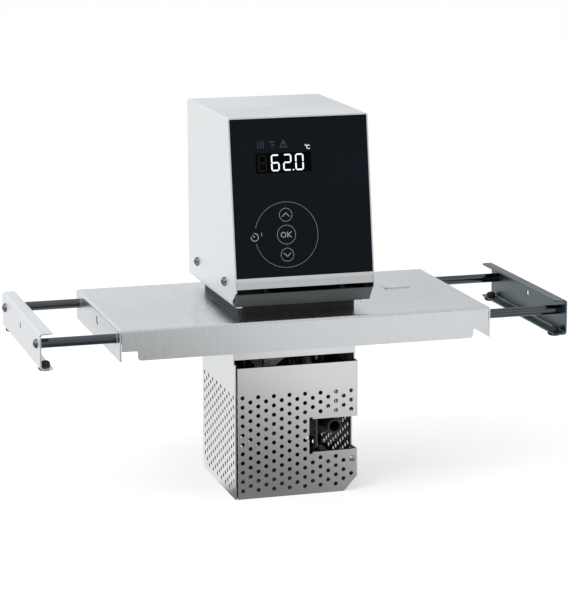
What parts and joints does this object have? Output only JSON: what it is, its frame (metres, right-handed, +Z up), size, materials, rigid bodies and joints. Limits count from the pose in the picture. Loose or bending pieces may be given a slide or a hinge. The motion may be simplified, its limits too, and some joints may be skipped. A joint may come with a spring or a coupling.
{
  "type": "immersion circulator",
  "caption": "Immersion circulator: sloping control head with black glass front on an extending bath bridge, perforated pump cage below.",
  "frame": {"origin": "middle of the pump cage's footprint, on the plane of its flat underside", "axes": "+X along the bridge towards the outlet side, -Y towards the user and the glass front, +Z up"},
  "size_m": [0.4609, 0.175, 0.3255],
  "materials": {
    "brushed_sheet": "brushed stainless sheet",
    "polished_sheet": "bright stainless sheet",
    "rod_steel": "polished steel rod",
    "screw_steel": "bright steel fasteners",
    "black_glass": "black printed glass",
    "black_plastic": "black moulded plastic",
    "grey_plastic": "grey moulded plastic",
    "gloss_black": "gloss black plastic",
    "rubber_black": "soft black rubber",
    "board": "green circuit board",
    "display": "dark display block",
    "motor_steel": "painted motor steel",
    "aluminium": "plain aluminium",
    "winding": "copper windings on iron",
    "float_plastic": "pale foamed plastic",
    "heater_steel": "heater tube steel"
  },
  "bodies": {
    "circulator": {"bridge_panel": "brushed_sheet", "bridge_cap": "brushed_sheet", "rod_bushings": "black_plastic", "head_hood": "brushed_sheet", "hood_screws": "screw_steel", "rear_panel": "brushed_sheet", "rear_screws": "screw_steel", "mains_inlet": "black_plastic", "switch_bezel": "black_plastic", "front_glass": "black_glass", "front_sheet": "polished_sheet", "display_module": "display", "touch_sensor": "board", "control_board": "board", "board_spacers": "screw_steel", "head_floor": "polished_sheet", "head_spacer": "black_plastic", "motor_plate": "polished_sheet", "motor_standoffs": "screw_steel", "motor_housing": "motor_steel", "motor_end_bell": "aluminium", "motor_bearings": "screw_steel", "stator": "winding", "power_board": "board", "transformer": "winding", "heat_sink": "aluminium", "cage_shell": "polished_sheet", "cage_cover": "polished_sheet", "cage_screws": "screw_steel", "pump_frame": "polished_sheet", "pump_casing": "black_plastic", "pump_cover": "black_plastic", "heater_tube": "heater_steel", "heater_nuts": "screw_steel", "temperature_probe": "rod_steel", "float_stem": "rod_steel", "left_guide_rail": "grey_plastic", "right_guide_rail": "grey_plastic"},
    "left_extension": {"left_front_rod": "rod_steel", "left_rear_rod": "rod_steel", "left_stop_nuts": "screw_steel", "left_bracket": "brushed_sheet", "left_bracket_screws": "screw_steel", "left_feet": "rubber_black"},
    "right_extension": {"right_front_rod": "rod_steel", "right_rear_rod": "rod_steel", "right_stop_nuts": "screw_steel", "right_bracket": "brushed_sheet", "right_bracket_screws": "screw_steel", "right_feet": "rubber_black"},
    "pump_rotor": {"motor_shaft": "rod_steel", "rotor": "motor_steel", "impeller": "black_plastic", "cooling_fan": "black_plastic"},
    "rocker": {"rocker_switch": "gloss_black"},
    "float": {"level_float": "float_plastic"}
  },
  "joints": [
    {"name": "left_extend", "type": "slide", "parent": "circulator", "child": "left_extension", "axis": [-1, 0, 0], "range_m": [-0.0515, 0.0385]},
    {"name": "right_extend", "type": "slide", "parent": "circulator", "child": "right_extension", "axis": [1, 0, 0], "range_m": [-0.056, 0.034]},
    {"name": "pump_spin", "type": "hinge", "parent": "circulator", "child": "pump_rotor", "pos_m": [0.012, 0, 0.1], "axis": [0, 0, 1], "continuous": true},
    {"name": "switch_rock", "type": "hinge", "parent": "circulator", "child": "rocker", "pos_m": [-0.014, 0.0744, 0.205], "axis": [1, 0, 0], "range_deg": [0, 20]},
    {"name": "float_rise", "type": "slide", "parent": "circulator", "child": "float", "axis": [0, 0, 1], "range_m": [0, 0.012]}
  ]
}
